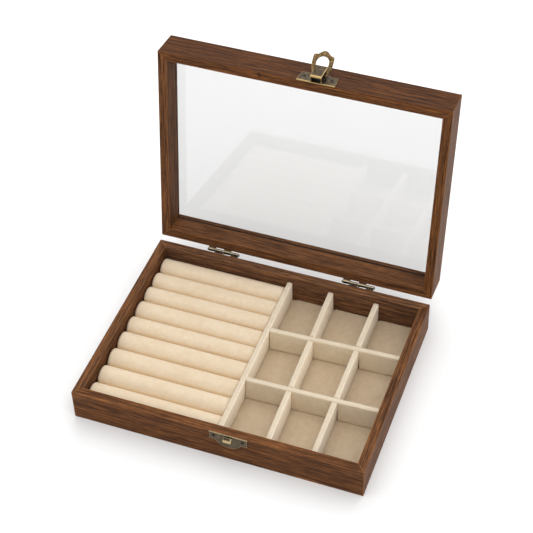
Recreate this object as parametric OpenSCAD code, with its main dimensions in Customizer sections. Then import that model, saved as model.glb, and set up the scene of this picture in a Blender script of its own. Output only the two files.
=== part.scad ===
// Ring display box: a shallow wooden case with a glazed lid on two surface
// hinges, nine velvet ring rolls on the left, nine velvet-lined compartments
// on the right and a swinging hasp on the front.
// Millimetres. +X right, +Y back, +Z up. Origin: centre of the base's underside.
// The lid is drawn open on its hinge stops.

/* [Case] */
// Outside width of the case
box_w = 240; // [220:1:260]
// Outside depth of the case
box_d = 181; // [172:1:190]
// Height of the base
base_h = 29; // [28:0.5:32]
// Wall thickness of the base rails
wall = 7.2; // [6.6:0.1:8]
// Thickness of the bottom panel
panel_t = 2.2; // [1.8:0.1:3]
// Thickness of the velvet lining on the bottom panel
lining_t = 0.8; // [0.6:0.1:1.2]

/* [Lid] */
// Height of the lid
lid_h = 27.5; // [26:0.5:30]
// Wall thickness of the lid rails
lid_wall = 7.5; // [7:0.1:8]
// Distance from the lid's rim to the glass
glass_z = 19; // [17:0.5:20]
// Thickness of the glass pane
glass_t = 2; // [1.8:0.1:2.2]
// Opening angle at the hinge stop
lid_open = 97.5; // [97.5:0.5:100]

/* [Ring rolls] */
// Number of ring rolls
roll_n = 9; // [9:1:9]
// Height of a roll above the lining
roll_h = 18.4; // [14:0.2:18.4]

/* [Dividers] */
// Thickness of a wrapped divider at its top edge
div_t = 4.4; // [3.8:0.1:4.8]
// How much a cross divider's foot stands out on each side
div_foot = 1; // [0:0.1:1.4]
// How much the middle long divider's foot stands out on each side
mid_foot = 0.4; // [0:0.1:1.4]
// Extra lean of the cross dividers towards the front at the foot
cross_lean = 0.9; // [0:0.1:1]
// Height of the divider tops above the underside
div_top = 23.5; // [20:0.1:25]
// Centre of the divider beside the rolls, from the middle of the case
div_left_x = 0.7; // [-1:0.1:2]
// Centre of the middle long divider
div_mid_x = 38.5; // [36:0.1:40]
// Centre of the right long divider
div_right_x = 76.6; // [75:0.1:79]
// Centre of the rear cross divider
div_rear_y = 29.5; // [27:0.1:31]
// Centre of the front cross divider
div_front_y = -26.7; // [-29:0.1:-25]
// Skew of the middle long divider, in degrees
skew_mid = 1.1; // [0:0.1:2]
// Skew of the right long divider, in degrees
skew_right = 0.2; // [0:0.1:2]
// Skew of the rear cross divider, in degrees
skew_rear = 2.3; // [0:0.1:2.5]
// Skew of the front cross divider, in degrees
skew_front = 1.5; // [0:0.1:2.5]

/* [Hinges] */
// Hinge axis behind the back face
axis_out = 2.9; // [2.8:0.05:3]
// Middle of the left hinge
hinge_left_x = -63; // [-80:0.5:-40]
// Middle of the right hinge
hinge_right_x = 57.5; // [40:0.5:80]
// Length of one knuckle
knuckle_l = 6.55; // [6:0.05:6.8]
// Outer radius of a knuckle
knuckle_r = 1.5; // [1.4:0.05:1.55]
// Radius of a hinge pin
pin_r = 0.7; // [0.6:0.05:0.8]

/* [Hasp] */
// Middle of the hasp, from the middle of the case
hasp_x = 11.2; // [-40:0.1:60]
// Angle of the loop from the lid's front face, 0 is pointing away from the rim
loop_angle = 45; // [10:1:90]
// Distance of the loop's axis from the lid's rim
loop_z = 9; // [8.8:0.1:9.2]
// Distance of the loop's axis from the lid's front face
loop_out = 3.1; // [3:0.05:3.2]

/* [Hidden] */
$fn = 48;
gap = 0.3;                    // lid rim above base rim when closed
run = 0.05;                   // radial running clearance
W = box_w; D = box_d;
xi = W/2 - wall; yi = D/2 - wall;
floor_z = panel_t + lining_t;
axis_y = D/2 + axis_out; axis_z = base_h;
pitch_k = knuckle_l + 0.3;
leaf_t = 0.8; leaf_l = 4*pitch_k - 0.3; leaf_h = 11;
roll_l = xi + div_left_x - div_t/2 - 1.0;
roll_p = 2*yi/roll_n;
// the rolls aren't all one width: how far each edge between them sits from an even pitch
edge_off = [-0.6, -0.3, 0.4, 2, 1.5, 2.8, 2, 1.3, 0.8, 0.1];
function roll_edge(i) = yi - roll_p*i + edge_off[i];
rabbet = 3.4; rabbet_h = panel_t;
lip_u = 5.3; groove_u = 3.3;
nail_r = 0.6;
plate_t = 0.8; plate_w = 31;
nail_dx = 11.8; lid_nail_dx = 11.1; lid_nail_z = 7.4; catch_nail_z = -3.3;
catch_x = hasp_x + 0.6; loop_x = 0.3;   // side play of catch and loop
bar_r = 0.8;
walnut = [0.40, 0.27, 0.18]; walnut_dark = [0.34, 0.22, 0.15];
velvet = [0.90, 0.82, 0.70]; beige = [0.86, 0.79, 0.69]; tan_c = [0.70, 0.61, 0.49];
bronze = [0.55, 0.45, 0.26]; black_bronze = [0.20, 0.16, 0.11];

// ---------- placement ----------
module lid_pose() {
  translate([0, axis_y, axis_z]) rotate([-lid_open, 0, 0]) translate([0, -axis_y, -axis_z]) children();
}
// local frame of the hasp: x along the case, y away from the face, z from the rim
module on_lid_face() { lid_pose() translate([hasp_x, -D/2, base_h]) mirror([0, 1, 0]) children(); }
module on_base_face() { translate([catch_x, -D/2, base_h]) mirror([0, 1, 0]) children(); }

// ---------- frame rails ----------
// A rail on the front side: profile (inwards, up), length along X, mitred ends
module rail(len, prof) {
  difference() {
    translate([-len/2, 0, 0]) rotate([90, 0, 90]) linear_extrude(len) polygon(prof);
    translate([-len/2, 0, -1]) rotate([0, 0, 135]) translate([0, -40, 0]) cube([40, 80, 60]);
    translate([len/2, 0, -1]) rotate([0, 0, 45]) translate([0, -40, 0]) cube([40, 80, 60]);
  }
}
base_prof = [[0, 0], [wall - rabbet, 0], [wall - rabbet, rabbet_h], [wall, rabbet_h], [wall, base_h], [0, base_h]];
lid_prof = [[0, gap], [lid_wall, gap], [lid_wall, glass_z], [groove_u, glass_z],
  [groove_u, glass_z + glass_t + 0.2], [lip_u, glass_z + glass_t + 0.2], [lip_u, lid_h], [0, lid_h]];
module base_rail_x() { translate([0, -D/2, 0]) rail(W, base_prof); }
module base_rail_y() { translate([0, -W/2, 0]) rail(D, base_prof); }
module lid_rail_x() { translate([0, -D/2, base_h]) rail(W, lid_prof); }
module lid_rail_y() { translate([0, -W/2, base_h]) rail(D, lid_prof); }

// ---------- nail positions ----------
hx = [hinge_left_x, hinge_right_x];
leaf_nail_dx = 8.2; leaf_nail_dz = 7.2;
module nail(l, head_r) {            // head at y > 0, shank into y < 0
  rotate([90, 0, 0]) cylinder(r = nail_r, h = l);
  rotate([-90, 0, 0]) intersection() {
    cylinder(r = head_r, h = 0.75);
    translate([0, 0, 0.75 - 2.2]) sphere(r = 2.2);
  }
}
module nail_hole(l) { rotate([90, 0, 0]) translate([0, 0, -2]) cylinder(r = nail_r + 0.03, h = l + 2.2); }
module hinge_nail_places(s) {       // s = -1 base, +1 lid
  for (x = hx, k = [-1, 1])
    translate([x + k*leaf_nail_dx, D/2 + leaf_t, base_h + s*leaf_nail_dz]) children();
}
module plate_nail_places(z, dx = nail_dx) { for (k = [-1, 1]) translate([k*dx, plate_t, z]) children(); }

// ---------- base ----------
module base_front_rail() {
  color(walnut) difference() {
    base_rail_x();
    on_base_face() plate_nail_places(catch_nail_z) nail_hole(4.8);
  }
}
module base_back_rail() {
  color(walnut) difference() {
    mirror([0, 1, 0]) base_rail_x();
    hinge_nail_places(-1) nail_hole(4.8);
  }
}
module base_left_rail() { color(walnut) rotate([0, 0, -90]) base_rail_y(); }
module base_right_rail() { color(walnut) rotate([0, 0, 90]) base_rail_y(); }
module base_bottom_panel() {
  c = wall - rabbet + 0.1;
  color(walnut_dark) translate([-W/2 + c, -D/2 + c, 0]) cube([W - 2*c, D - 2*c, panel_t]);
}
module floor_lining() {
  color(tan_c) translate([-xi + 0.1, -yi + 0.1, panel_t]) cube([2*xi - 0.2, 2*yi - 0.2, lining_t]);
}

// ---------- ring rolls ----------
// A foam roll in velvet: flat where it lies on the lining, round over the top
module ring_roll(i) {
  yc = (roll_edge(i - 1) + roll_edge(i))/2;
  r = (roll_edge(i - 1) - roll_edge(i))/2 - 0.1;
  color(velvet) translate([-xi + 0.8, yc, floor_z + 0.05]) rotate([90, 0, 90]) linear_extrude(roll_l)
    intersection() {
      union() {
        translate([0, roll_h - r]) circle(r = r, $fn = 96);
        translate([1.4 - r, 0]) square([2*r - 2.8, roll_h - r]);
      }
      translate([-r, 0]) square([2*r, roll_h + 1]);
    }
}

// ---------- dividers ----------
dh = div_top - floor_z - 0.05;
// Section of a divider (across, up from its foot), e wider all round for a slot
function div_sec(lo, hi, e) = [[-div_t/2 - lo - e, -0.05], [div_t/2 + hi + e, -0.05],
  [div_t/2 + e, dh + e], [-div_t/2 - e, dh + e]];
module long_bar(x, skew, foot, e) {
  translate([x, 0, floor_z + 0.05]) rotate([0, 0, skew]) rotate([90, 0, 0])
    linear_extrude(2*yi - 0.3, center = true) polygon(div_sec(foot, foot, e));
}
module cross_bar(y, skew, e) {
  x0 = div_left_x + div_t/2 + 0.3; x1 = xi - 0.3;
  translate([(x0 + x1)/2, y, floor_z + 0.05]) rotate([0, 0, skew]) rotate([90, 0, 90])
    linear_extrude(x1 - x0, center = true) polygon(div_sec(div_foot + cross_lean, div_foot, e));
}
module above(z) { translate([-W, -D, z]) cube([2*W, 2*D, 100]); }
module below(z) { translate([-W, -D, z - 100]) cube([2*W, 2*D, 100]); }
module divider_floor_cut() { below(floor_z + 0.05); }
module long_divider(x, skew, foot, slots) {         // slotted from above for the cross dividers
  color(beige) difference() {
    long_bar(x, skew, foot, 0);
    divider_floor_cut();
    if (slots) for (c = [[div_rear_y, skew_rear], [div_front_y, skew_front]])
      intersection() { cross_bar(c[0], c[1], 0.15); above(floor_z + dh/2); }
  }
}
module cross_divider(y, skew) {                     // slotted from below over the long dividers
  color(beige) difference() {
    cross_bar(y, skew, 0);
    divider_floor_cut();
    for (c = [[div_mid_x, skew_mid, mid_foot], [div_right_x, skew_right, 0]])
      intersection() { long_bar(c[0], c[1], c[2], 0.15); below(floor_z + dh/2 + 0.2); }
  }
}

// ---------- lid ----------
module lid_front_rail() {
  color(walnut) difference() {
    lid_pose() lid_rail_x();
    on_lid_face() plate_nail_places(lid_nail_z, lid_nail_dx) nail_hole(4.8);
  }
}
module lid_back_rail() {
  color(walnut) lid_pose() difference() {
    mirror([0, 1, 0]) lid_rail_x();
    hinge_nail_places(1) nail_hole(4.8);
  }
}
module lid_left_rail() { color(walnut) lid_pose() rotate([0, 0, -90]) lid_rail_y(); }
module lid_right_rail() { color(walnut) lid_pose() rotate([0, 0, 90]) lid_rail_y(); }
module lid_glass() {
  u = groove_u + 0.2;
  color([0.85, 0.92, 0.92, 0.35]) lid_pose()
    translate([-W/2 + u, -D/2 + u, base_h + glass_z + 0.1]) cube([W - 2*u, D - 2*u, glass_t]);
}

// ---------- hinges ----------
// Section of a leaf's finger, from the leaf on the wood out to its knuckle (y, z about the axis)
y0 = -axis_out;
finger = [[y0, -4], [y0 + leaf_t, -4], [y0 + leaf_t, -1.7], [-1.15, -0.85], [-1.2, 0.35], [y0 + 0.75, -0.3], [y0, -0.95]];
module finger_at(k) {               // k = 0..3 along the hinge
  translate([-2*pitch_k + 0.15 + k*pitch_k, 0, 0]) rotate([90, 0, 90]) linear_extrude(knuckle_l) polygon(finger);
}
module knuckle_at(k) { translate([-2*pitch_k + 0.15 + k*pitch_k, 0, 0]) rotate([0, 90, 0]) cylinder(r = knuckle_r, h = knuckle_l); }
module leaf_sheet() {               // sheet nailed to the wood, corners cut off
  difference() {
    translate([-leaf_l/2, y0, -leaf_h]) cube([leaf_l, leaf_t, leaf_h - 1.25]);
    for (x = [-1, 1]) translate([x*leaf_nail_dx, 0, -leaf_nail_dz]) rotate([90, 0, 0]) translate([0, 0, -2]) cylinder(r = nail_r + 0.03, h = 8);
    for (x = [-1, 1]) translate([x*leaf_l/2, y0 - 1, -leaf_h]) rotate([0, 45, 0]) translate([-1, 0, -1]) cube([2, 3, 2]);
  }
}
module pin_hole(r) { translate([-20, 0, 0]) rotate([0, 90, 0]) cylinder(r = r, h = 40); }
module base_leaf(x) {               // knuckles 1 and 3
  color(black_bronze) translate([x, axis_y, axis_z]) difference() {
    union() { leaf_sheet(); for (k = [1, 3]) { finger_at(k); knuckle_at(k); } }
    pin_hole(pin_r + 0.01);
  }
}
// Stop tooth under a lid knuckle: its tip meets the base leaf when the lid is open
module stop_tooth(k, end) {
  w = 1.0;
  translate([-2*pitch_k + 0.15 + k*pitch_k + (end ? knuckle_l - w : 0), 0, 0])
    rotate([lid_open, 0, 0]) rotate([90, 0, 90]) linear_extrude(w)
      polygon([[-0.3, -1.3], [-1.2, -0.5], [y0 + leaf_t + 0.06, -1.45], [y0 + leaf_t + 0.06, -1.95], [-1.5, -2.1]]);
}
module lid_leaf(x) {                // knuckles 0 and 2
  color(black_bronze) lid_pose() translate([x, axis_y, axis_z]) difference() {
    union() {
      mirror([0, 0, 1]) { leaf_sheet(); for (k = [0, 2]) finger_at(k); }
      for (k = [0, 2]) knuckle_at(k);
      stop_tooth(0, true); stop_tooth(2, false);
    }
    pin_hole(pin_r + run);
  }
}
module hinge_pin(x) {
  color(black_bronze) translate([x, axis_y, axis_z]) {
    translate([-2*pitch_k - 0.3, 0, 0]) rotate([0, 90, 0]) cylinder(r = pin_r, h = 4*pitch_k + 0.6);
    for (k = [-1, 1]) translate([k*(2*pitch_k + 0.35), 0, 0]) rotate([0, 90, 0]) cylinder(r = 1.05, h = 0.5, center = true);
  }
}

// ---------- hasp on the lid ----------
// Side section of the hood (z from the rim, distance from the face): flat web, rounded nose at the rim end
nose_r = 1.2;
function hood_outer(o) = concat([[15.6, 6.5 - o], [13.4, 6.2 - o]],
  [for (a = [90:15:180]) [nose_r + 0.3 + (nose_r - o)*cos(a), 6.2 - nose_r + (nose_r - o)*sin(a)]]);
hood_w = 9.2; hood_t = 0.65;
function rev(v) = [for (i = [len(v) - 1:-1:0]) v[i]];
module section_x(x0, x1) { translate([x0, 0, 0]) rotate([90, 0, 90]) linear_extrude(x1 - x0) mirror([1, 0]) rotate(90) children(); }
module hood_web() { section_x(-hood_w/2, hood_w/2) polygon(concat(hood_outer(0), rev(hood_outer(0.85)))); }
module hood_wall() {
  polygon(concat([[13.4, 0.3], [13.4, 5.9]], [for (a = [90:30:150]) [nose_r + 0.3 + (nose_r - 0.3)*cos(a), 6.2 - nose_r + (nose_r - 0.3)*sin(a)]], [[0.9, 3.4], [0.9, 0.3]]));
}
module plate_outline(ear_h, belly_r, belly_c, cut = [9.6, 0.5]) {     // straight edge on y = 0, ears, round belly
  difference() {
    union() {
      translate([-plate_w/2, 0]) square([plate_w, ear_h]);
      intersection() {
        translate([0, belly_c]) circle(r = belly_r, $fn = 96);
        translate([-plate_w/2, 0.1]) square([plate_w, 30]);
      }
    }
    for (k = [-1, 1]) translate([k*(plate_w/2 + cut[0]), ear_h*cut[1]]) circle(r = 10, $fn = 96);
  }
}
module hasp_plate() {
  color(bronze) on_lid_face() difference() {
    union() {
      rotate([90, 0, 0]) mirror([0, 0, 1]) linear_extrude(plate_t) translate([0, 0.35]) plate_outline(12.4, 12, 3.9, [9.2, 0.8]);
      hood_web();
      for (k = [-1, 1]) section_x(k > 0 ? hood_w/2 - hood_t : -hood_w/2, k > 0 ? hood_w/2 : -hood_w/2 + hood_t) hood_wall();
    }
    plate_nail_places(lid_nail_z, lid_nail_dx) nail_hole(5);
    translate([-10, loop_out, loop_z]) rotate([0, 90, 0]) cylinder(r = bar_r + run, h = 20);
  }
}
// The loop in its own frame: x across, y from the axis outwards, flat in the xy plane
leg_o = 8.4; foot_o = 6.3; leg_i = 5.1; arch_c = 9.8; loop_t = 1;
module loop_outline() {
  difference() {
    union() {
      for (k = [-1, 1]) scale([k, 1])              // legs, narrower towards the axis
        polygon([[0, -0.9], [foot_o, -0.9], [foot_o + 0.1, 0.8], [7.2, 3.2], [8, 5.8], [leg_o, 8.6], [leg_o, 13.6], [0, 13.6]]);
      polygon([[-leg_o, 13.5], [-leg_o + 0.2, 15.2], [-7.7, 15.7], [-4.9, 16.1], [-3.9, 16.9], [-2.5, 18.2], [-1.1, 19],
               [0.4, 19.2], [1.8, 19], [3.2, 18.1], [4.4, 16.9], [5.4, 16.2], [7.8, 15.7], [leg_o - 0.2, 15.2], [leg_o, 13.5]]);
    }
    translate([0, arch_c]) circle(r = leg_i, $fn = 96);
    translate([-leg_i, -2]) square([2*leg_i, arch_c + 2]);
  }
}
module hasp_loop() {
  color(bronze) on_lid_face() translate([loop_x, loop_out, loop_z]) rotate([90 - loop_angle, 0, 0]) {
    translate([0, 0, -loop_t/2]) linear_extrude(loop_t) loop_outline();
    translate([-foot_o + 0.2, 0, 0]) rotate([0, 90, 0]) cylinder(r = bar_r, h = 2*foot_o - 0.4);
  }
}
module hasp_plate_nails() { color(bronze) on_lid_face() plate_nail_places(lid_nail_z, lid_nail_dx) nail(4.6, 1.35); }

// ---------- catch on the base ----------
// Side section of the hook (z from the rim, distance from the face): a ramp with a shelf below it
hook = [[-5.3, 0.5], [-5.3, 3.3], [-4.9, 4], [-4.3, 4.3], [-3.7, 4.2], [-0.9, 1.95], [-1.3, 1.2], [-4.1, 3.4], [-4.4, 3.2], [-4.4, 0.5]];
module catch_plate() {
  color(bronze) on_base_face() difference() {
    union() {
      rotate([90, 0, 0]) mirror([0, 0, 1]) linear_extrude(plate_t) mirror([0, 1]) translate([0, 0.05]) plate_outline(7.8, 12, 2.1);
      intersection() {
        section_x(-3.4, 3.4) polygon(hook);
        translate([0, 0, loop_z - arch_c]) rotate([-90, 0, 0]) cylinder(r = leg_i - 0.6, h = 6, $fn = 96);
      }
    }
    plate_nail_places(catch_nail_z) nail_hole(5);
  }
}
module catch_plate_nails() { color(bronze) on_base_face() plate_nail_places(catch_nail_z) nail(4.6, 1.35); }

base_front_rail();
base_back_rail();
base_left_rail();
base_right_rail();
base_bottom_panel();
floor_lining();
ring_roll(1);  // ring_roll_1
ring_roll(2);  // ring_roll_2
ring_roll(3);  // ring_roll_3
ring_roll(4);  // ring_roll_4
ring_roll(5);  // ring_roll_5
ring_roll(6);  // ring_roll_6
ring_roll(7);  // ring_roll_7
ring_roll(8);  // ring_roll_8
ring_roll(9);  // ring_roll_9
long_divider(div_left_x, 0, 0, false);  // divider_long_left
long_divider(div_mid_x, skew_mid, mid_foot, true);  // divider_long_middle
long_divider(div_right_x, skew_right, 0, true);  // divider_long_right
cross_divider(div_rear_y, skew_rear);  // divider_cross_rear
cross_divider(div_front_y, skew_front);  // divider_cross_front
lid_front_rail();
lid_back_rail();
lid_left_rail();
lid_right_rail();
lid_glass();
base_leaf(hinge_left_x);  // hinge_left_base_leaf
lid_leaf(hinge_left_x);  // hinge_left_lid_leaf
hinge_pin(hinge_left_x);  // hinge_left_pin
base_leaf(hinge_right_x);  // hinge_right_base_leaf
lid_leaf(hinge_right_x);  // hinge_right_lid_leaf
hinge_pin(hinge_right_x);  // hinge_right_pin
color(black_bronze) hinge_nail_places(-1) nail(4.6, 1.3);  // hinge_base_nails
color(black_bronze) lid_pose() hinge_nail_places(1) nail(4.6, 1.3);  // hinge_lid_nails
hasp_plate();
hasp_loop();
hasp_plate_nails();
catch_plate();
catch_plate_nails();
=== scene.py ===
import math

import bmesh
import bpy
import numpy as np
from mathutils import Matrix, Vector


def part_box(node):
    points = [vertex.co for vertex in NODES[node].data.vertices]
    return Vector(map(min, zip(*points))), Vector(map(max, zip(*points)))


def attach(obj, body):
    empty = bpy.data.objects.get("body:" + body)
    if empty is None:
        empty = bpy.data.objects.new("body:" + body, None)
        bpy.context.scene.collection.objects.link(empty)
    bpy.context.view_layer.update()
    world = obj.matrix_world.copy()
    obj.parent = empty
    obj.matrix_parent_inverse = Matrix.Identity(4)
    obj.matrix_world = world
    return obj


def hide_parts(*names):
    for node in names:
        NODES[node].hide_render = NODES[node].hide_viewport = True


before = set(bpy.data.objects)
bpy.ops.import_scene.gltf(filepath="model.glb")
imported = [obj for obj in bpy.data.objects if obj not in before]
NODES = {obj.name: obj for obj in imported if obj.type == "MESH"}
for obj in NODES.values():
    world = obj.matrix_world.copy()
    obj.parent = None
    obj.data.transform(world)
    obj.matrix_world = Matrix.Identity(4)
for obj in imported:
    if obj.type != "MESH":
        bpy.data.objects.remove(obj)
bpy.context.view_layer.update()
MM = 0.001
LID_TURN = math.radians(97.5)      # the lid's rest pose, from its closed one
AXIS_Y, AXIS_Z = 0.0934, 0.029     # the hinge axis
LID_BACK = (0.0, AXIS_Y - (AXIS_Y * math.cos(LID_TURN) - AXIS_Z * math.sin(LID_TURN)),
            AXIS_Z - (AXIS_Y * math.sin(LID_TURN) + AXIS_Z * math.cos(LID_TURN)))


# ---------------------------------------------------------------- node helper
class Graph:
    """Short calls for building one material's node tree."""

    def __init__(self, name):
        self.mat = bpy.data.materials.new(name)
        self.mat.use_nodes = True
        self.nt = self.mat.node_tree
        self.nt.nodes.clear()
        self.out = self.nt.nodes.new("ShaderNodeOutputMaterial")
        self.tc = self.nt.nodes.new("ShaderNodeTexCoord")

    def node(self, kind, ins=(), out=0, **props):
        n = self.nt.nodes.new(kind)
        for k, v in props.items():
            setattr(n, k, v)
        for k, v in dict(ins).items():
            if isinstance(v, bpy.types.NodeSocket):
                self.nt.links.new(v, n.inputs[k])
            else:
                n.inputs[k].default_value = v
        return n.outputs[out]

    def obj(self):
        return self.tc.outputs["Object"]

    def mapping(self, v, loc=(0, 0, 0), rot=(0, 0, 0), scale=(1, 1, 1)):
        return self.node("ShaderNodeMapping", {"Vector": v, "Location": loc, "Rotation": rot, "Scale": scale})

    def vmath(self, op, a, b):
        return self.node("ShaderNodeVectorMath", {0: a, 1: b}, operation=op)

    def math(self, op, a, b=0.0, clamp=False):
        return self.node("ShaderNodeMath", {0: a, 1: b}, operation=op, use_clamp=clamp)

    def noise(self, v, scale, detail=2.0, rough=0.5, dist=0.0, color=False):
        if not isinstance(scale, (int, float)):
            v, scale = self.mapping(v, scale=scale), 1.0
        return self.node("ShaderNodeTexNoise", {"Vector": v, "Scale": scale, "Detail": detail,
                                                "Roughness": rough, "Distortion": dist}, out=1 if color else 0)

    def fit(self, v, a, b, c=0.0, d=1.0, smooth=False):
        n = self.nt.nodes.new("ShaderNodeMapRange")
        n.interpolation_type = "SMOOTHSTEP" if smooth else "LINEAR"
        n.clamp = True
        self.nt.links.new(v, n.inputs[0])
        for i, x in zip((1, 2, 3, 4), (a, b, c, d)):
            n.inputs[i].default_value = x
        return n.outputs[0]

    def ramp(self, v, stops, mode="LINEAR"):
        n = self.nt.nodes.new("ShaderNodeValToRGB")
        n.color_ramp.interpolation = mode
        e = n.color_ramp.elements
        while len(e) < len(stops):
            e.new(0.5)
        for k, (pos, col) in zip(e, stops):
            k.position = pos
            k.color = (*col, 1)
        self.nt.links.new(v, n.inputs[0])
        return n.outputs[0]

    def mix(self, f, a, b, mode="MIX"):
        n = self.nt.nodes.new("ShaderNodeMix")
        n.data_type = "RGBA"
        n.blend_type = mode
        n.clamp_factor = True
        for k, v in ((0, f), (6, a), (7, b)):
            if isinstance(v, bpy.types.NodeSocket):
                self.nt.links.new(v, n.inputs[k])
            else:
                n.inputs[k].default_value = v if k == 0 else (*v, 1)
        return n.outputs[2]

    def bump(self, h, dist, strength=1.0, normal=None):
        ins = {"Height": h, "Distance": dist, "Strength": strength}
        if normal is not None:
            ins["Normal"] = normal
        return self.node("ShaderNodeBump", ins)

    def principled(self, **ins):
        n = self.nt.nodes.new("ShaderNodeBsdfPrincipled")
        for k, v in ins.items():
            k = k.replace("_", " ")
            if isinstance(v, bpy.types.NodeSocket):
                self.nt.links.new(v, n.inputs[k])
            else:
                n.inputs[k].default_value = (*v, 1) if isinstance(v, tuple) and len(v) == 3 else v
        return n

    def finish(self, shader):
        s = shader if isinstance(shader, bpy.types.NodeSocket) else shader.outputs[0]
        self.nt.links.new(s, self.out.inputs["Surface"])
        return self.mat


def srgb(r, g, b):
    f = lambda c: c / 12.92 if c <= 0.04045 else ((c + 0.055) / 1.055) ** 2.4
    return tuple(f(x / 255) for x in (r, g, b))


# ---------------------------------------------------------------- materials
def walnut(name, along, lid, seed, light_tint=None, knot=None, faces=None):
    """Walnut foil wrapped round a rail: long fine streaks along the rail, one print for each rail.
    along is the rail's direction in the closed case. lid turns the pattern with the open lid."""
    g = Graph(name)
    p = g.obj()
    if lid:                                        # back to the closed lid's place
        p = g.mapping(p, loc=LID_BACK, rot=(LID_TURN, 0, 0))
    closed = p
    if along == "y":
        p = g.mapping(p, rot=(0, 0, math.radians(-90)))
    p = g.mapping(p, loc=(seed * 0.371, seed * 0.113, seed * 0.077))
    # slow wander of the streaks
    w = g.noise(p, (5, 14, 14), 1.0, 0.5, color=True)
    w = g.vmath("SUBTRACT", w, (0.5, 0.5, 0.5))
    w = g.vmath("MULTIPLY", w, (0.0, 0.006, 0.006))
    q = g.vmath("ADD", p, w)
    band = g.noise(q, (5.0, 300, 300), 2.0, 0.55)
    streak = g.noise(q, (30.0, 980, 980), 2.0, 0.60)
    fine = g.noise(q, (110, 1900, 1900), 2.0, 0.65)
    pore = g.noise(q, (120, 2300, 2300), 1.0, 0.5)
    warm = g.noise(q, (14.0, 620, 620), 2.0, 0.55, 0.3)
    cloud = g.noise(p, (16, 60, 60), 2.0, 0.5)
    t = g.math("ADD", g.math("MULTIPLY", band, 0.10), g.math("MULTIPLY", streak, 0.52))
    t = g.math("ADD", t, g.math("MULTIPLY", fine, 0.38))
    t = g.fit(t, 0.365, 0.635)
    col = g.ramp(t, [
        (0.00, srgb(44, 27, 17)),
        (0.22, srgb(68, 43, 27)),
        (0.48, srgb(93, 60, 37)),
        (0.74, srgb(114, 74, 44)),
        (1.00, srgb(146, 93, 50)),
    ])
    col = g.mix(g.fit(warm, 0.50, 0.66, 0.0, 0.24), col, srgb(126, 76, 40))
    col = g.mix(g.fit(cloud, 0.50, 0.68, 0.0, 0.14), col, srgb(86, 57, 37))
    col = g.mix(g.fit(streak, 0.33, 0.44, 0.42, 0.0), col, srgb(50, 32, 23))
    col = g.mix(g.fit(pore, 0.60, 0.74, 0.0, 0.60), col, srgb(38, 25, 19))
    # foil lighter along the sharp edges: partly worn foil, partly a painted highlight where the rounded edges catch
    # the light
    bev = g.node("ShaderNodeBevel", {"Radius": 0.0009}, samples=6)
    geo = g.nt.nodes.new("ShaderNodeNewGeometry")
    edge = g.nt.nodes.new("ShaderNodeVectorMath")
    edge.operation = "DOT_PRODUCT"
    g.nt.links.new(bev, edge.inputs[0])
    g.nt.links.new(geo.outputs["Normal"], edge.inputs[1])
    wear = g.fit(edge.outputs["Value"], 0.995, 0.93, 0.0, 1.0)
    wear = g.math("MULTIPLY", wear, g.fit(g.noise(p, (60, 220, 220), 2.0), 0.36, 0.62, 0.20, 0.75))
    col = g.mix(wear, col, srgb(146, 98, 60))
    if lid:                                        # painted shade: a dark line where the pane meets the rails, standing in for the shadow in the glass's groove
        xyz = g.nt.nodes.new("ShaderNodeSeparateXYZ")
        g.nt.links.new(closed, xyz.inputs[0])
        z = xyz.outputs["Z"]
        side = g.math("ABSOLUTE", xyz.outputs["X" if along == "y" else "Y"])
        painted_seam_shade = g.math("MULTIPLY", g.fit(z, 0.0471, 0.0474), g.fit(z, 0.0528, 0.0523))
        painted_seam_shade = g.math("MULTIPLY", painted_seam_shade, g.fit(side, *((0.1176, 0.1172) if along == "y" else (0.0881, 0.0877))))
        col = g.mix(painted_seam_shade, col, srgb(30, 20, 15))
    if knot:                                       # one faint printed knot
        d = g.vmath("SUBTRACT", g.obj(), knot)
        d = g.node("ShaderNodeVectorMath", {0: d}, out=1, operation="LENGTH")
        ring = g.node("ShaderNodeMath", {0: g.math("SUBTRACT", g.math("MULTIPLY", d, 2100.0), 1.2)}, operation="SINE")
        ring = g.math("MULTIPLY", g.fit(ring, 0.0, 0.9), g.fit(d, 0.0014, 0.0050, 0.75, 0.0))
        col = g.mix(ring, col, srgb(34, 22, 16))
    if faces:                                      # painted light: the rim, facing the light, is tinted lighter and the outer face darker, a lit and a shaded copy of one foil
        axis, a, b, low, high = faces              # the two tints: painted shade for the outer face, painted light for the rim
        sep = g.nt.nodes.new("ShaderNodeSeparateXYZ")
        g.nt.links.new(closed, sep.inputs[0])
        f = g.fit(sep.outputs[axis], a, b)
        col = g.mix(1.0, col, g.mix(f, low, high), "MULTIPLY")
    # painted light: a tint per rail for how it is lit
    if light_tint is not None:
        col = g.mix(1.0, col, light_tint, "MULTIPLY")
    rough = g.fit(streak, 0.3, 0.7, 0.58, 0.46)
    h = g.math("SUBTRACT", g.math("MULTIPLY", streak, 0.5), g.fit(pore, 0.58, 0.72, 0.0, 0.8))
    h = g.math("ADD", h, g.math("MULTIPLY", fine, 0.4))
    nrm = g.bump(h, 0.00007, 0.75)
    return g.finish(g.principled(Base_Color=col, Roughness=rough, Specular_IOR_Level=0.06, Normal=nrm))


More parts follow.
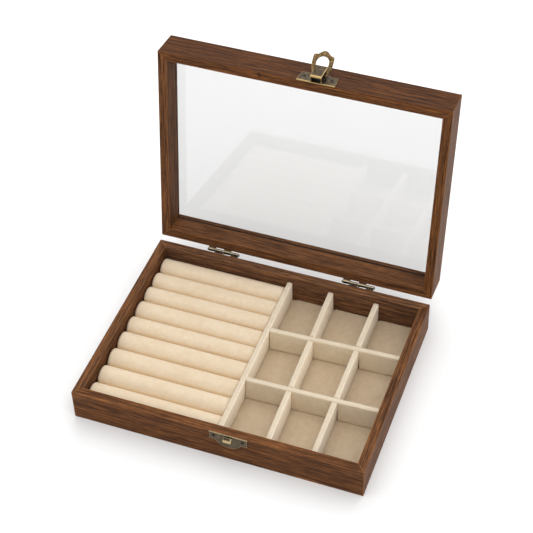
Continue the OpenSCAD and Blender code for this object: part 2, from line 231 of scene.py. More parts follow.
def velvet(name, light, dark, side_light_tints=None, groove_shade_tint=None, sheen=0.35, along="x", tuft=1.0, seed=0.0):
    """Short-pile velvet: a soft mottle where the pile lies one way or another, with fine pile over it. The side tints
    are painted light, lighter on sides facing +x and warmer on sides facing -y; the (z low, z high, colour) tint is
    painted shade low down between rolls."""
    g = Graph(name)
    p = g.mapping(g.obj(), loc=(seed * 0.21, seed * 0.13, seed * 0.05))
    s = (34, 62, 62) if along == "x" else (62, 34, 62)
    patch = g.noise(p, s, 3.0, 0.55, 0.6)
    mott = g.noise(p, 260, 3.0, 0.6)
    pile = g.noise(p, 1500, 2.0, 0.6)
    hair = g.noise(p, 4200, 1.0, 0.5)
    t = g.math("ADD", g.math("MULTIPLY", patch, 0.52), g.math("MULTIPLY", mott, 0.48))
    t = g.fit(t, 0.36, 0.64)
    col = g.mix(t, dark, light)
    col = g.mix(g.fit(pile, 0.32, 0.68, 0.13 * tuft, 0.0), col, tuple(c * 0.62 for c in dark))
    col = g.mix(g.fit(hair, 0.52, 0.74, 0.0, 0.16 * tuft), col, (0.93, 0.88, 0.80))
    if side_light_tints:
        # painted light: sides facing +x lighter, more so higher up, tops a little darker, sides facing -y warmer, as
        # the light falls on them
        n = g.node("ShaderNodeSeparateXYZ", {0: g.nt.nodes.new("ShaderNodeNewGeometry").outputs["Normal"]}).node
        z = g.node("ShaderNodeSeparateXYZ", {0: g.obj()}).node.outputs["Z"]
        side = g.mix(g.fit(z, 0.004, 0.020), (1.12, 1.11, 1.08), side_light_tints[0])
        col = g.mix(1.0, col, g.mix(g.fit(n.outputs["X"], 0.25, 0.80), (1.0, 1.0, 1.0), side), "MULTIPLY")
        col = g.mix(1.0, col, g.mix(g.fit(n.outputs["Z"], 0.55, 0.95), (1.0, 1.0, 1.0), (0.955, 0.94, 0.915)), "MULTIPLY")
        col = g.mix(1.0, col, g.mix(g.fit(n.outputs["Y"], -0.35, -0.85), (1.0, 1.0, 1.0), side_light_tints[1]), "MULTIPLY")
    if groove_shade_tint:
        # painted shade: the velvet warmer and darker low down, for the grooves between rolls that lie in shade and
        # take light bounced off the velvet
        z = g.node("ShaderNodeSeparateXYZ", {0: g.obj()}).node.outputs["Z"]
        col = g.mix(g.fit(z, groove_shade_tint[1], groove_shade_tint[0], 0.0, 0.8), col, groove_shade_tint[2])
    h = g.math("ADD", g.math("MULTIPLY", pile, 0.65), g.math("MULTIPLY", hair, 0.35))
    n1 = g.bump(mott, 0.0006, 0.25 * tuft)
    nrm = g.bump(h, 0.00016, 0.7 * tuft, n1)
    rough = g.fit(mott, 0.35, 0.65, 0.96, 0.88)
    return g.finish(g.principled(Base_Color=col, Roughness=rough, Specular_IOR_Level=0.12, Normal=nrm,
                                 Sheen_Weight=sheen, Sheen_Roughness=0.42, Sheen_Tint=(1.0, 0.965, 0.91)))


def antique(name, patina, metal, edge_to, rough=(0.34, 0.56), wear=0.55, seed=0.0, edge_r=0.00035, lid=False,
            worn_and_highlit_boxes=(), painted_shade_boxes=()):
    """Antiqued plating: dark patina in the flats, edge_to on the edges (bright: wear and painted highlight; dark:
    painted shade), worn bright here and there between. The two lists of boxes in the closed case, (lo, hi), are bright
    painted highlights, partly wear, and dark painted shade."""
    g = Graph(name)
    p = g.mapping(g.obj(), loc=(seed * 0.17, seed * 0.29, seed * 0.11))
    cloud = g.noise(p, 420, 4.0, 0.62)
    speck = g.noise(p, 2300, 3.0, 0.6)
    grit = g.noise(p, 6500, 2.0, 0.5)
    bev = g.node("ShaderNodeBevel", {"Radius": edge_r}, samples=6)
    geo = g.nt.nodes.new("ShaderNodeNewGeometry")
    dot = g.nt.nodes.new("ShaderNodeVectorMath")
    dot.operation = "DOT_PRODUCT"
    g.nt.links.new(bev, dot.inputs[0])
    g.nt.links.new(geo.outputs["Normal"], dot.inputs[1])
    edge = g.fit(dot.outputs["Value"], 0.985, 0.82, 0.0, 1.0)
    edge = g.math("MULTIPLY", edge, g.fit(speck, 0.30, 0.55, 0.55, 1.0))
    rub = g.fit(g.math("ADD", g.math("MULTIPLY", cloud, 0.6), g.math("MULTIPLY", speck, 0.4)), 0.47, 0.66, 0.0, wear)
    base = g.mix(rub, patina, metal)
    base = g.mix(g.fit(grit, 0.55, 0.75, 0.0, 0.35), base, tuple(c * 0.4 for c in patina))
    if worn_and_highlit_boxes or painted_shade_boxes:
        c = g.mapping(g.obj(), loc=LID_BACK, rot=(LID_TURN, 0, 0)) if lid else g.obj()
        c = g.node("ShaderNodeSeparateXYZ", {0: c}).node
        jitter = g.math("MULTIPLY", g.math("SUBTRACT", cloud, 0.5), 0.0006)

        def inside(lo, hi, soft=0.00022):
            f = None
            for k, (a, b) in enumerate(zip(lo, hi)):
                v = g.math("ADD", c.outputs[k], jitter)
                if a is not None:
                    m = g.fit(v, a - soft, a + soft)
                    f = m if f is None else g.math("MULTIPLY", f, m)
                if b is not None:
                    m = g.fit(v, b - soft, b + soft, 1.0, 0.0)
                    f = m if f is None else g.math("MULTIPLY", f, m)
            return f

        # painted shade: the boxes where the part lies in shadow are darkened
        for lo, hi in painted_shade_boxes:
            base = g.mix(g.math("MULTIPLY", inside(lo, hi), 0.85), base, tuple(x * 0.35 for x in patina))
        # painted highlights, partly wear: the boxes where the plating catches the light are made bright
        for lo, hi in worn_and_highlit_boxes:
            edge = g.math("MAXIMUM", edge, g.math("MULTIPLY", inside(lo, hi), g.fit(speck, 0.30, 0.55, 0.70, 1.0)))
    col = g.mix(edge, base, edge_to)
    r = g.math("SUBTRACT", g.fit(speck, 0.3, 0.7, rough[0], rough[1]), g.math("MULTIPLY", edge, 0.10))
    nrm = g.bump(g.math("ADD", speck, g.math("MULTIPLY", grit, 0.5)), 0.00004, 0.8)
    return g.finish(g.principled(Base_Color=col, Metallic=0.93, Roughness=r, Normal=nrm))


def board(name):
    """Thin brown fibreboard of the case's underside."""
    g = Graph(name)
    p = g.obj()
    fibre = g.noise(p, (700, 420, 420), 4.0, 0.65, 0.8)
    cloud = g.noise(p, 55, 3.0, 0.55)
    chip = g.noise(p, (2600, 1500, 1500), 2.0, 0.6)
    col = g.ramp(g.math("ADD", g.math("MULTIPLY", fibre, 0.6), g.math("MULTIPLY", cloud, 0.4)), [
        (0.34, srgb(74, 52, 38)), (0.50, srgb(94, 68, 50)), (0.66, srgb(116, 86, 64))])
    col = g.mix(g.fit(chip, 0.60, 0.74, 0.0, 0.45), col, srgb(52, 36, 27))
    nrm = g.bump(g.math("ADD", fibre, g.math("MULTIPLY", chip, 0.5)), 0.00006, 0.8)
    return g.finish(g.principled(Base_Color=col, Roughness=g.fit(fibre, 0.3, 0.7, 0.66, 0.8),
                                 Specular_IOR_Level=0.3, Normal=nrm))


def clear_glass(name):
    """Clear float glass. Light goes straight through it to what is behind; faint dust and wipe marks on its face."""
    g = Graph(name)
    p = g.obj()
    wipe = g.noise(p, (16, 30, 30), 3.0, 0.55, 1.2)
    dust = g.noise(p, 1400, 2.0, 0.5)
    rough = g.math("ADD", g.fit(wipe, 0.35, 0.7, 0.030, 0.048), g.fit(dust, 0.66, 0.8, 0.0, 0.02))
    body = g.principled(Base_Color=(0.71, 0.712, 0.71), Roughness=rough, IOR=1.50)
    body.inputs["Transmission Weight"].default_value = 1.0
    body.inputs["Specular IOR Level"].default_value = 0.24
    clear = g.node("ShaderNodeBsdfTransparent", {"Color": (0.93, 0.935, 0.93, 1)})
    path = g.nt.nodes.new("ShaderNodeLightPath")
    m = g.nt.nodes.new("ShaderNodeMixShader")
    g.nt.links.new(path.outputs["Is Shadow Ray"], m.inputs[0])
    g.nt.links.new(body.outputs[0], m.inputs[1])
    g.nt.links.new(clear, m.inputs[2])
    return g.finish(m)


def paper(name):
    g = Graph(name)
    n = g.noise(g.obj(), 900, 2.0)
    col = g.mix(n, (0.90, 0.90, 0.90), (0.92, 0.92, 0.92))
    return g.finish(g.principled(Base_Color=col, Roughness=0.9, Specular_IOR_Level=0.0))


# ---------------------------------------------------------------- small tools
def smooth_noise(n, seed, waves, amp):
    """A sum of gentle seeded waves along a line of n points, as one array."""
    rng = np.random.default_rng(seed)
    x = np.linspace(0, 1, n)
    y = np.zeros(n)
    for k in waves:
        y += rng.uniform(0.4, 1.0) * np.sin(2 * math.pi * (k * x + rng.uniform()))
    return amp * y / max(1, len(waves))


def field(u, v, seed, cells, amp):
    """Smooth seeded bumps over a grid: u and v from 0 to 1, cells=(along, across)."""
    rng = np.random.default_rng(seed)
    out = np.zeros(np.broadcast(u, v).shape)
    for _ in range(10):
        ku, kv = rng.uniform(0.3, cells[0]), rng.uniform(0.3, cells[1])
        out += rng.uniform(0.3, 1.0) * np.sin(2 * math.pi * (ku * u + rng.uniform())) * np.cos(2 * math.pi * (kv * v + rng.uniform()))
    return amp * out / 4.0


def mesh_object(name, verts, faces, mat):
    me = bpy.data.meshes.new(name)
    me.from_pydata([tuple(v) for v in verts], [], faces)
    me.update()
    bm = bmesh.new()
    bm.from_mesh(me)
    bmesh.ops.recalc_face_normals(bm, faces=bm.faces)
    bm.to_mesh(me)
    bm.free()
    for poly in me.polygons:
        poly.use_smooth = True
    o = bpy.data.objects.new(name, me)
    bpy.context.scene.collection.objects.link(o)
    me.materials.append(mat)
    return o


def loft(name, rings, mat):
    """A closed tube through rings of equal point count, ending in fans."""
    m = len(rings[0])
    verts = [p for r in rings for p in r]
    faces = []
    for i in range(len(rings) - 1):
        for j in range(m):
            a, b = i * m + j, i * m + (j + 1) % m
            faces.append((a, b, b + m, a + m))
    for i, flip in ((0, True), (len(rings) - 1, False)):
        c = len(verts)
        verts.append(np.mean(rings[i], axis=0))
        for j in range(m):
            a, b = i * m + j, i * m + (j + 1) % m
            faces.append((b, a, c) if flip else (a, b, c))
    return mesh_object(name, verts, faces, mat)


def bevel(o, width, segments=2, angle=35):
    b = o.modifiers.new("edge", "BEVEL")
    b.width = width
    b.segments = segments
    b.limit_method = "ANGLE"
    b.angle_limit = math.radians(angle)
    b.harden_normals = False
    b.use_clamp_overlap = True


def paint(o, mat):
    o.data.materials.clear()
    o.data.materials.append(mat)


def smooth_by_angle(o, deg):
    """Smooth shading that stays crisp at sharp edges, as an edge-split modifier: the CAD mesh isn't changed."""
    for poly in o.data.polygons:
        poly.use_smooth = True
    m = o.modifiers.new("crisp", "EDGE_SPLIT")
    m.split_angle = math.radians(deg)


# ---------------------------------------------------------------- ring rolls
def ring_roll(i, mat):
    """A foam roll in velvet, pushed in beside its neighbours: flat below, pressed a little flat where it
    touches them, round over the top, with the velvet tucked in round both ends."""
    lo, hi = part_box("ring_roll_%d" % i)
    lo, hi = np.array(lo), np.array(hi)
    yc, half = (lo[1] + hi[1]) / 2, (hi[1] - lo[1]) / 2
    h, x0, x1 = hi[2] - lo[2], lo[0], hi[0]
    m, n = 84, 150
    a = np.linspace(-math.pi, math.pi, m, endpoint=False)      # angle from the top, round the section
    cy = h - half                                              # height of the round's centre
    # section: round above the centre, straight-sided below, with soft lower corners
    sy = np.sin(a)
    sz = np.cos(a)
    e_low = 0.62
    py = np.where(sz >= 0, sy, np.sign(sy) * np.abs(sy) ** e_low)
    pz = np.where(sz >= 0, sz, -np.abs(sz) ** e_low)
    py = py * (half + 0.06 * MM)
    pz = np.where(pz >= 0, pz * half, pz * cy) + cy
    r_end = 2.3 * MM
    rings = []
    # stations along the roll: cap rings, the round over the edge, then the body
    cap = [(0.0, s) for s in (0.12, 0.30, 0.50, 0.68, 0.82, 0.92)]
    t_round = np.linspace(0, 1, 9)[1:]
    rng = np.random.default_rng(100 + i)
    pleat_n = 17
    ph0, ph1 = rng.uniform(0, 6.28, 2)
    left_pull = rng.uniform(-0.35, 0.35) * MM
    body = np.linspace(0, 1, n)
    wav_top = smooth_noise(n, 200 + i, (1.3, 2.1, 4.7, 7.9), 0.16 * MM)
    wav_sid = smooth_noise(n, 300 + i, (0.8, 1.9, 3.3), 0.10 * MM)

    def section(x, inset, k, pleat, phase):
        """One ring at x, pulled in by inset towards the section's middle, with pleats of that depth."""
        cyy, czz = 0.0, h * 0.5
        vy, vz = py - cyy, pz - czz
        r = np.hypot(vy, vz)
        d = inset + pleat * (0.5 + 0.5 * np.cos(pleat_n * a + phase + 0.8 * np.sin(3 * a)))
        f = np.maximum(r - d, 0.02 * MM) / r
        yy, zz = cyy + vy * f, czz + vz * f
        # the floor side stays flat
        zz = np.maximum(zz, 0.0)
        top = np.clip((zz - cy) / half, 0, 1)
        zz = zz - (0.05 * MM - 0.6 * wav_top[k]) * top
        yy = yy + wav_sid[k] * (1 - top) * 0.3
        bumps = field(np.full(m, k / n), (a + math.pi) / (2 * math.pi), 400 + i, (9, 5), 0.10 * MM)
        zz = zz - np.abs(bumps) * top
        return np.stack([np.full(m, x), yc + yy, lo[2] + zz], axis=1)

    def end(side):
        """Rings from the middle of an end out to the full section, as (x, inset, pleat)."""
        x_end = x0 if side < 0 else x1
        out = []
        r_max = half
        for _, s in cap:
            dimple = 0.55 * MM * (1 - s) ** 1.2
            out.append((x_end - side * dimple, (1 - s) * (r_max - r_end) + r_end, 0.22 * MM * s))
        for t in t_round:
            ang = t * math.pi / 2
            out.append((x_end - side * (r_end - r_end * math.cos(ang)), r_end * (1 - math.sin(ang)),
                        0.22 * MM * (1 - t) ** 1.3))
        return out

    for x, ins, pl in end(-1):
        rings.append(section(x, ins, 0, pl, ph0))
    for k in range(1, n - 1):
        x = x0 + r_end + (x1 - x0 - 2 * r_end) * body[k]
        rings.append(section(x, 0.0, k, 0.0, 0.0))
    for x, ins, pl in reversed(end(+1)):
        rings.append(section(x, ins, n - 1, pl, ph1))
    o = loft("ring_roll_%d_velvet" % i, rings, mat)
    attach(o, "base")
    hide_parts("ring_roll_%d" % i)
    return o


# ---------------------------------------------------------------- dividers
DIV_TOP, DIV_FOOT_Z = 23.5 * MM, 3.05 * MM
DIV_HALF = 2.2 * MM


def divider(name, node, p0, p1, foot_l, foot_r, seed, mat, notches=(), arches=(), end_r=(1.2, 1.2), bow=0.0):
    """A card strip wrapped in velvet, standing on edge from p0 to p1 (x, y in metres). foot_l and foot_r are how far
    the foot stands out to the left and right of the way it runs. notches are places along it, from 0 to 1, where the
    top half is cut for a crossing strip; arches are where the bottom half is cut. end_r rounds the top corner of each end.
    bow bends the strip to the right at its ends."""
    p0, p1 = np.array(p0, float), np.array(p1, float)
    length = np.linalg.norm(p1 - p0)
    d = (p1 - p0) / length
    nrm = np.array([d[1], -d[0]])                   # to the right of the way it runs
    step = 0.9 * MM
    s = set(np.linspace(0, length, int(length / step)))
    e = 0.85 * MM
    for k in np.linspace(0, 1, 7):                  # rounded ends need close stations
        s |= {e * (1 - math.cos(k * math.pi / 2)), length - e * (1 - math.cos(k * math.pi / 2))}
        s |= {3.0 * MM * k, length - 3.0 * MM * k}
    gap_h = DIV_HALF + 0.22 * MM
    for c in list(notches) + list(arches):
        for w in (gap_h, gap_h + 0.10 * MM, gap_h + 0.35 * MM, gap_h + 0.7 * MM, gap_h + 1.1 * MM):
            s |= {c * length - w, c * length + w}
    s = np.array(sorted(x for x in s if 0 <= x <= length))
    keep = [0]
    for k in range(1, len(s)):
        if s[k] - s[keep[-1]] > 0.03 * MM or k == len(s) - 1:
            keep.append(k)
    s = s[keep]
    n = len(s)
    lean = smooth_noise(n, seed, (0.7, 1.6, 2.9), 0.14 * MM)
    bend = bow * (4.0 * (s / length - 0.5) ** 2 - 0.38)
    topw = smooth_noise(n, seed + 1, (1.1, 2.7, 5.2, 8.1), 0.13 * MM)
    z_mid = DIV_FOOT_Z + (DIV_TOP - DIV_FOOT_Z) / 2
    rings = []
    # round the section: right foot, up the right face, over the top, down the left face, along the foot
    side = np.linspace(0, 1, 15)
    over = np.linspace(0, math.pi, 17)[1:-1]
    for k, x in enumerate(s):
        top, bot = DIV_TOP - 0.04 * MM + 0.7 * topw[k], DIV_FOOT_Z
        for j, (at, r) in enumerate(((0.0, end_r[0]), (length, end_r[1]))):
            u = abs(x - at)
            r = r * MM
            if u < r:                               # the wrap rounds the strip's top corner
                top -= r - math.sqrt(max(r * r - (r - u) ** 2, 0))
        for c in notches:
            u = abs(x - c * length) - gap_h
            if u < 0.10 * MM:
                top = z_mid - 0.1 * MM
            elif u < 1.1 * MM:                      # rounded lips of the notch
                q = 1 - (u - 0.10 * MM) / (1.0 * MM)
                top -= 0.5 * MM * q ** 2
        for c in arches:
            u = abs(x - c * length) - gap_h
            if u < 0.35 * MM:
                bot = z_mid + 0.1 * MM
        pinch = 0.0
        u = min(x, length - x)
        if u < e:                                   # the strip's end is rounded in plan
            pinch = e - math.sqrt(max(e * e - (e - u) ** 2, 0))
        h = DIV_HALF - 0.05 * MM
        zt = top
        r_top = min(1.15 * MM, max(0.35 * MM, h - pinch))
        pts = []
        bulge = field(np.full(side.shape, x / length), side, seed + 5, (14, 3), 0.13 * MM)
        for q, b in zip(side, bulge):
            z = bot + (zt - r_top - bot) * q
            f = 1 - (z - DIV_FOOT_Z) / (DIV_TOP - DIV_FOOT_Z)
            w = h + foot_r * f ** 1.15 - pinch + b * min(1.0, 4 * f) * 0.6
            if z - bot < 0.6 * MM:
                w -= 0.42 * MM * (1 - (z - bot) / (0.6 * MM))
            pts.append((max(w, 0.15 * MM), z))
        hw = max(h - pinch, 0.15 * MM)
        for ang in over:
            c, t = math.cos(ang), math.sin(ang)
            c = math.copysign(abs(c) ** 0.60, c)
            pts.append((hw * c, zt - r_top + r_top * t ** 0.72))
        bulge = field(np.full(side.shape, x / length), side, seed + 9, (14, 3), 0.13 * MM)
        for q, b in list(zip(side, bulge))[::-1]:
            z = bot + (zt - r_top - bot) * q
            f = 1 - (z - DIV_FOOT_Z) / (DIV_TOP - DIV_FOOT_Z)
            w = h + foot_l * f ** 1.15 - pinch + b * min(1.0, 4 * f) * 0.6
            if z - bot < 0.6 * MM:
                w -= 0.42 * MM * (1 - (z - bot) / (0.6 * MM))
            pts.append((-max(w, 0.15 * MM), z))
        ring = []
        for off, z in pts:
            f = (z - DIV_FOOT_Z) / (DIV_TOP - DIV_FOOT_Z)
            xy = p0 + d * x + nrm * (off + lean[k] * f + bend[k])
            ring.append((xy[0], xy[1], z))
        rings.append(np.array(ring))
    o = loft(name, rings, mat)
    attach(o, "base")
    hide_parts(node)
    return o


# ---------------------------------------------------------------- floor lining
def lining(mat):
    """The velvet glued to the bottom panel: one thin sheet, not quite flat, with its cut edge a little soft."""
    lo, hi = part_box("floor_lining")
    lo, hi = np.array(lo), np.array(hi)
    nx, ny = 226, 168
    xs, ys = np.linspace(lo[0], hi[0], nx), np.linspace(lo[1], hi[1], ny)
    X, Y = np.meshgrid(xs, ys, indexing="ij")
    U, V = (X - lo[0]) / (hi[0] - lo[0]), (Y - lo[1]) / (hi[1] - lo[1])
    Z = hi[2] - 0.10 * MM + field(U, V, 7, (9, 7), 0.075 * MM) + field(U, V, 8, (26, 20), 0.02 * MM)
    edge = np.minimum(np.minimum(X - lo[0], hi[0] - X), np.minimum(Y - lo[1], hi[1] - Y))
    Z = np.minimum(Z, hi[2])
    # its edge turns up a little against the walls, except where a divider or a roll stands on it
    free = np.clip((X - 5.0 * MM) / (3 * MM), 0, 1)
    for at, skew in ((X_MID, mid_t), (X_RIGHT, right_t)):
        free = free * np.clip((np.abs(X - (at - skew * Y)) - 3.0 * MM) / (1.6 * MM), 0, 1)
    for at, skew in ((Y_REAR, rear_t), (Y_FRONT, front_t)):
        free = free * np.clip((np.abs(Y - (at + skew * (X - XC))) - 4.3 * MM) / (1.6 * MM), 0, 1)
    Z = Z + 0.80 * MM * free * np.clip(1 - edge / (1.9 * MM), 0, 1) ** 1.6
    Z = Z - 0.30 * MM * (1 - free) * np.clip(1 - edge / (1.2 * MM), 0, 1) ** 2
    verts = [(X[i, j], Y[i, j], Z[i, j]) for i in range(nx) for j in range(ny)]
    k = len(verts)
    verts += [(X[i, j], Y[i, j], lo[2]) for i in range(nx) for j in range(ny)]
    faces = []
    for i in range(nx - 1):
        for j in range(ny - 1):
            a = i * ny + j
            faces.append((a, a + ny, a + ny + 1, a + 1))
            faces.append((k + a, k + a + 1, k + a + ny + 1, k + a + ny))
    rim = [i * ny for i in range(nx)] + [(nx - 1) * ny + j for j in range(1, ny)]
    rim += [i * ny + ny - 1 for i in range(nx - 2, -1, -1)] + [j for j in range(ny - 2, 0, -1)]
    for a, b in zip(rim, rim[1:] + rim[:1]):
        faces.append((a, k + a, k + b, b))
    o = mesh_object("floor_lining_velvet", verts, faces, mat)
    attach(o, "base")
    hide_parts("floor_lining")
    return o


# ---------------------------------------------------------------- build the soft pieces
roll_mat = velvet("cream_velvet", (0.755, 0.62, 0.455), (0.695, 0.55, 0.38), groove_shade_tint=(0.0125, 0.0185, (0.74, 0.545, 0.29)), sheen=0.28,
                  along="x", seed=1)
div_mat = velvet("beige_velvet", (0.735, 0.64, 0.505), (0.66, 0.56, 0.425), side_light_tints=((1.52, 1.54, 1.56), (1.00, 0.965, 0.885)), sheen=0.28, along="y", tuft=1.3, seed=2)
floor_mat = velvet("tan_velvet", (0.555, 0.436, 0.302), (0.487, 0.372, 0.242), sheen=0.20, along="y", seed=3)

for i in range(1, 10):
    ring_roll(i, roll_mat)

Y1 = 83.15 * MM
mid_t = math.tan(math.radians(1.1))
right_t = math.tan(math.radians(0.2))
rear_t = math.tan(math.radians(2.3))
front_t = math.tan(math.radians(1.5))
X_MID, X_RIGHT, Y_REAR, Y_FRONT = 38.5 * MM, 76.6 * MM, 29.5 * MM, -26.7 * MM
XA, XB = 3.1 * MM, 112.5 * MM
XC = (XA + XB) / 2


def crossing(x_at, skew_l, y_at, skew_c):
    """Where a long strip (x at y=0, its skew) meets a cross strip (y at its middle, its skew)."""
    y = y_at
    for _ in range(6):
        x = x_at - skew_l * y
        y = y_at + skew_c * (x - XC)
    return x, y


def along_y(y):
    return (y + Y1) / (2 * Y1)


def along_x(x):
    return (x - XA) / (XB - XA)


FOOT = 1.0 * MM
MID_FOOT = 0.4 * MM
LEAN = 0.9 * MM
long_cross = {}
for lname, lx, lt in (("mid", X_MID, mid_t), ("right", X_RIGHT, right_t)):
    for cname, cy_, ct in (("rear", Y_REAR, rear_t), ("front", Y_FRONT, front_t)):
        long_cross[lname, cname] = crossing(lx, lt, cy_, ct)

divider("divider_long_left_velvet", "divider_long_left", (0.7 * MM, -Y1), (0.7 * MM, Y1), 0.0, 0.0, 11, div_mat)
divider("divider_long_middle_velvet", "divider_long_middle", (X_MID + mid_t * Y1, -Y1), (X_MID - mid_t * Y1, Y1),
        MID_FOOT, MID_FOOT, 12, div_mat, notches=[along_y(long_cross["mid", c][1]) for c in ("front", "rear")])
divider("divider_long_right_velvet", "divider_long_right", (X_RIGHT + right_t * Y1, -Y1), (X_RIGHT - right_t * Y1, Y1),
        0.0, 0.0, 13, div_mat, notches=[along_y(long_cross["right", c][1]) for c in ("front", "rear")], bow=0.45 * MM)
divider("divider_cross_rear_velvet", "divider_cross_rear", (XA, Y_REAR + rear_t * (XA - XC)), (XB, Y_REAR + rear_t * (XB - XC)),
        FOOT, FOOT + LEAN, 14, div_mat, arches=[along_x(long_cross[c, "rear"][0]) for c in ("mid", "right")], end_r=(0.45, 1.0))
divider("divider_cross_front_velvet", "divider_cross_front", (XA, Y_FRONT + front_t * (XA - XC)), (XB, Y_FRONT + front_t * (XB - XC)),
        FOOT, FOOT + LEAN, 15, div_mat, arches=[along_x(long_cross[c, "front"][0]) for c in ("mid", "right")], end_r=(0.45, 1.0))
lining(floor_mat)

# ---------------------------------------------------------------- looks of the CAD pieces
rails = {
    "base_front_rail": ("x", False, 1), "base_back_rail": ("x", False, 2),
    "base_left_rail": ("y", False, 3), "base_right_rail": ("y", False, 4),
    "lid_front_rail": ("x", True, 5), "lid_back_rail": ("x", True, 6),
    "lid_left_rail": ("y", True, 7), "lid_right_rail": ("y", True, 8),
}
# painted light: each rail's foil is tinted lighter or greyer to stand in for how brightly it is lit and what it
# reflects
RAIL_LIGHT_TINT = {"base_right_rail": (1.10, 1.10, 1.10), "base_left_rail": (1.06, 1.10, 1.15), "base_back_rail": (1.17, 1.36, 1.74),
        "lid_right_rail": (1.0, 0.96, 0.84)}
# painted light: per rail, the axis and span of the rim's edge, the outer face's darker tint and the rim's lighter tint
FACE_LIGHT_TINTS = {"base_front_rail": ("Z", 0.0284, 0.0290, (0.92, 0.88, 0.81), (1.12, 1.09, 1.02)),
         "lid_front_rail": ("Y", -0.0904, -0.0898, (0.60, 0.51, 0.365), (1.00, 0.95, 0.87))}
KNOT = {"lid_front_rail": (-0.0345, 0.1172, 0.2088)}
for nm, (along, lid, seed) in rails.items():
    o = NODES[nm]
    paint(o, walnut("walnut_foil_" + nm, along, lid, seed, RAIL_LIGHT_TINT.get(nm), KNOT.get(nm), FACE_LIGHT_TINTS.get(nm)))
    bevel(o, 0.50 * MM, 3)
    for poly in o.data.polygons:
        poly.use_smooth = False

paint(NODES["base_bottom_panel"], board("brown_board"))
bevel(NODES["base_bottom_panel"], 0.3 * MM, 2)
paint(NODES["lid_glass"], clear_glass("clear_glass"))

HX, CX = 11.2 * MM, 11.8 * MM                      # middles of the hasp and of the catch
FACE = -90.5 * MM
# painted highlights, partly wear, on the nose, the plate's lower edge and the web's right edge; painted shade on the
# hood's right side wall and the plate beside it
hasp_m = antique("antique_bronze", (0.048, 0.036, 0.022), (0.23, 0.165, 0.085), (0.41, 0.285, 0.120), wear=0.62, seed=1, edge_r=0.0006,
                 lid=True,
                 worn_and_highlit_boxes=[((HX - 4.7 * MM, None, None), (HX + 4.7 * MM, FACE - 4.7 * MM, 31.3 * MM)),      # nose
                         ((None, FACE - 1.5 * MM, None), (None, FACE + 1 * MM, 30.25 * MM)),              # plate's lower edge
                         ((HX + 3.7 * MM, None, None), (HX + 4.7 * MM, FACE - 5.9 * MM, None))],          # right edge of the web
                 painted_shade_boxes=[((HX + 4.45 * MM, None, None), (HX + 5.6 * MM, FACE - 1.0 * MM, None)),
                            ((HX + 4.7 * MM, FACE - 1.2 * MM, 30.5 * MM), (HX + 7.0 * MM, None, 42 * MM))])
# painted highlights, partly wear, on the hook and its right edge; painted shade under the hook
catch_m = antique("antique_bronze_catch", (0.095, 0.073, 0.048), (0.27, 0.20, 0.11), (0.60, 0.46, 0.25), wear=0.5, seed=5, edge_r=0.0007,
                  worn_and_highlit_boxes=[((CX - 3.5 * MM, None, 23.2 * MM), (CX + 3.5 * MM, FACE - 3.2 * MM, None)),
                          ((CX + 2.4 * MM, None, 23.2 * MM), (CX + 3.6 * MM, FACE - 1.2 * MM, None))],
                  painted_shade_boxes=[((CX - 3.0 * MM, None, 24.6 * MM), (CX + 2.2 * MM, FACE - 0.9 * MM, 27.3 * MM))])
# dark edge colour: painted shade standing in for the loop's side faces in shadow
loop_m = antique("rubbed_bronze", (0.090, 0.058, 0.026), (0.44, 0.295, 0.125), (0.15, 0.10, 0.046), wear=0.95, seed=2, edge_r=0.0005)
# a painted highlight along the tops of the knuckles
hinge_m = antique("antique_brass", (0.016, 0.014, 0.012), (0.10, 0.078, 0.052), (0.70, 0.56, 0.36), rough=(0.24, 0.38), wear=0.40,
                  seed=3, edge_r=0.0003, worn_and_highlit_boxes=[((None, AXIS_Y - 0.75 * MM, AXIS_Z + 1.10 * MM), (None, AXIS_Y + 0.25 * MM, None))])
nail_m = antique("nail_bronze", (0.012, 0.010, 0.008), (0.08, 0.06, 0.038), (0.46, 0.36, 0.21), wear=0.4, seed=4, edge_r=0.0004)
for nm, mat, w in (
    ("hasp_plate", hasp_m, 0.20), ("hasp_loop", loop_m, 0.22), ("catch_plate", catch_m, 0.20),
    ("hasp_plate_nails", nail_m, 0.0), ("catch_plate_nails", nail_m, 0.0),
    ("hinge_left_base_leaf", hinge_m, 0.12), ("hinge_left_lid_leaf", hinge_m, 0.12),
    ("hinge_right_base_leaf", hinge_m, 0.12), ("hinge_right_lid_leaf", hinge_m, 0.12),
    ("hinge_left_pin", hinge_m, 0.0), ("hinge_right_pin", hinge_m, 0.0),
    ("hinge_base_nails", nail_m, 0.0), ("hinge_lid_nails", nail_m, 0.0),
):
    o = NODES[nm]
    paint(o, mat)
    if w:
        bevel(o, w * MM, 2, 40)

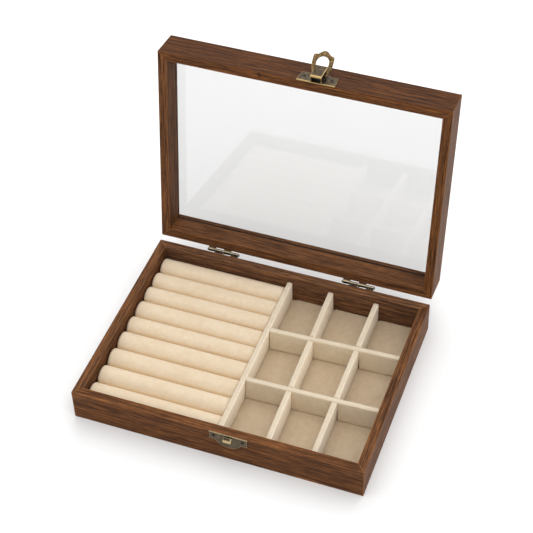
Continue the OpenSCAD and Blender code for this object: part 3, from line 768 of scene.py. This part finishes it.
# ---------------------------------------------------------------- floor, light, camera
me = bpy.data.meshes.new("floor")
me.from_pydata([(-6, -6, 0), (6, -6, 0), (6, 6, 0), (-6, 6, 0)], [], [(0, 1, 2, 3)])
floor = bpy.data.objects.new("floor", me)
bpy.context.scene.collection.objects.link(floor)
me.materials.append(paper("pale_paper"))
floor.location.z = -0.0001

world = bpy.data.worlds.new("studio")
bpy.context.scene.world = world
world.use_nodes = True
bg = world.node_tree.nodes["Background"]
bg.inputs[0].default_value = (1.0, 1.0, 1.0, 1)
bg.inputs[1].default_value = 0.83


def area(name, at, aim, size, power, color=(1, 1, 1)):
    L = bpy.data.lights.new(name, "AREA")
    L.shape = "SQUARE"
    L.size = size
    L.energy = power
    L.color = color
    o = bpy.data.objects.new(name, L)
    bpy.context.scene.collection.objects.link(o)
    o.location = at
    o.rotation_euler = (Vector(aim) - Vector(at)).to_track_quat("-Z", "Y").to_euler()
    return o


area("key", (0.22, -0.26, 1.38), (0.0, 0.0, 0.0), 1.3, 6.6)
area("fill", (1.4, -0.5, 0.7), (0.0, 0.0, 0.05), 0.9, 0.8)
area("back", (-0.08, 0.50, 0.60), (0.0, 0.14, 0.0), 0.8, 2.6)

cam_data = bpy.data.cameras.new("camera")
cam = bpy.data.objects.new("camera", cam_data)
bpy.context.scene.collection.objects.link(cam)
C = Vector((0.3002063500636452, -0.740882613373243, 0.9286112508359159))
R = ((0.9396362452055984, 0.34146994724577295, -0.02195453993810409),
     (0.22831982291337058, -0.6734793972496109, -0.7030615619880722),
     (-0.2548603248070046, 0.6556094695840426, -0.7107900099403468))
X, Yc, Zc = Vector(R[0]), -Vector(R[1]), -Vector(R[2])
cam.matrix_world = Matrix(((X[0], Yc[0], Zc[0], C[0]), (X[1], Yc[1], Zc[1], C[1]), (X[2], Yc[2], Zc[2], C[2]), (0, 0, 0, 1)))
cam_data.sensor_width = 36.0
cam_data.lens = 101.144
cam_data.clip_start = 0.05
cam_data.clip_end = 50
bpy.context.scene.camera = cam
vs = bpy.context.scene.view_settings
vs.view_transform = "Standard"
vs.look = "None"
vs.exposure = 0.0
vs.gamma = 1.0

# ---------------------------------------------------------------- finish
bpy.context.view_layer.update()
